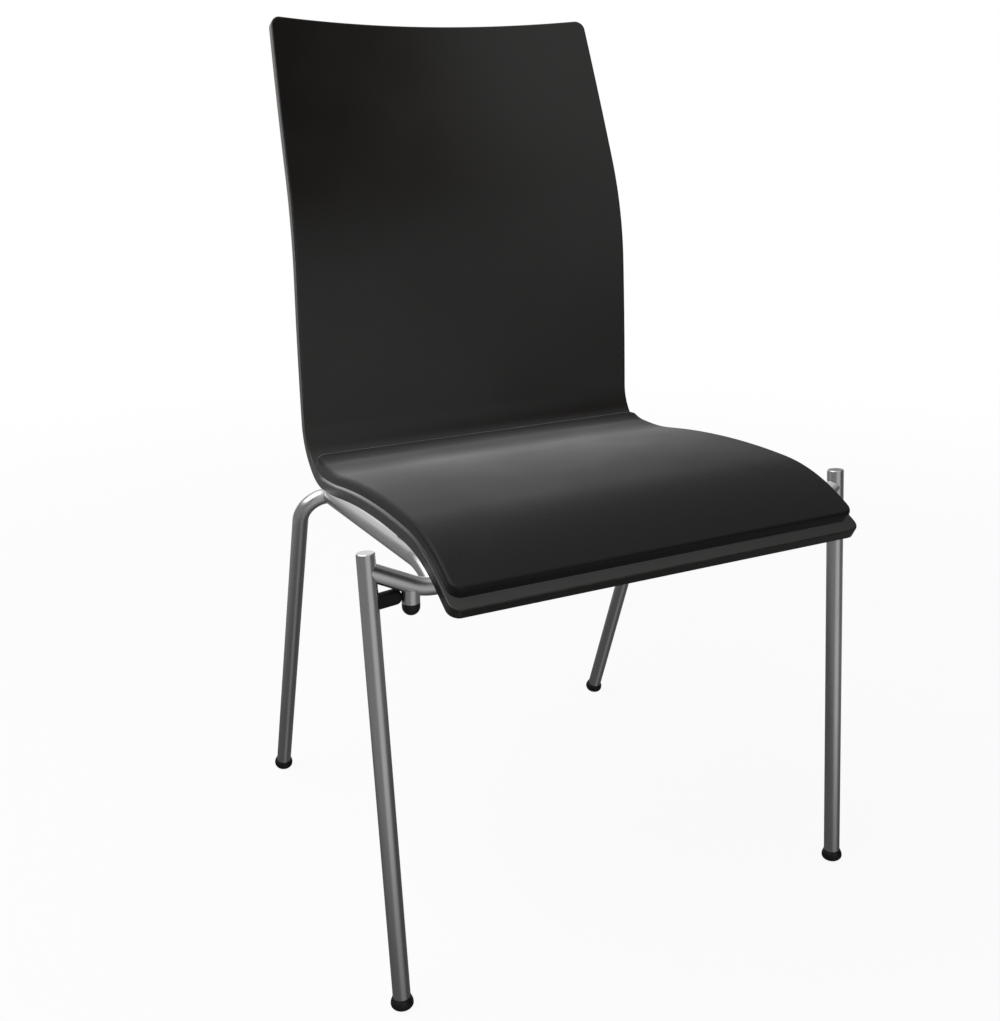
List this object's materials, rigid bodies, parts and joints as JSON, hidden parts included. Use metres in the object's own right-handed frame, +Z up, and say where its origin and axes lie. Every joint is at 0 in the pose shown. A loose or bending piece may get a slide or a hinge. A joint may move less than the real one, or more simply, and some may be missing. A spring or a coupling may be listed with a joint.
{
  "type": "choir chair",
  "caption": "Stacking choir chair with a high one-piece moulded seat and back, an upholstered seat pad and a bent tube frame.",
  "frame": {"origin": "on the floor under the middle of the chair's width and depth", "axes": "+Z up, the sitter faces -Y, and +X is towards the sitter's left"},
  "size_m": [0.5732, 0.5672, 0.9404],
  "materials": {
    "frame_tube": "satin chrome plating on steel tube",
    "black_plastic": "matt black moulded polyamide",
    "buffer_rubber": "matt black moulded rubber",
    "zinc_steel": "zinc plated",
    "insert_brass": "turned",
    "stained_ply": "moulded beech plywood with black-brown stain and satin clear coat",
    "board_ply": "raw plywood",
    "pad_cover": "fine-grained black upholstery leather over foam"
  },
  "bodies": {
    "root": {"front_leg_right": "frame_tube", "front_leg_left": "frame_tube", "front_leg_cap_right": "frame_tube", "front_leg_cap_left": "frame_tube", "front_cross_tube": "frame_tube", "rear_leg_frame": "frame_tube", "side_rail_right": "frame_tube", "side_rail_left": "frame_tube", "glide_front_right": "black_plastic", "glide_front_left": "black_plastic", "glide_rear_right": "black_plastic", "glide_rear_left": "black_plastic", "stacking_peg_right": "frame_tube", "stacking_peg_left": "frame_tube", "peg_cap_right": "black_plastic", "peg_cap_left": "black_plastic", "buffer_pin_right": "frame_tube", "buffer_pin_left": "frame_tube", "buffer_sleeve_right": "buffer_rubber", "buffer_sleeve_left": "buffer_rubber", "front_plate_right": "frame_tube", "front_plate_left": "frame_tube", "rear_plate_right": "frame_tube", "rear_plate_left": "frame_tube", "front_spacers": "black_plastic", "fixing_screws": "zinc_steel", "shell_inserts": "insert_brass", "seat_shell": "stained_ply", "pad_board": "board_ply", "seat_pad": "pad_cover", "pad_screws": "zinc_steel"}
  },
  "joints": []
}
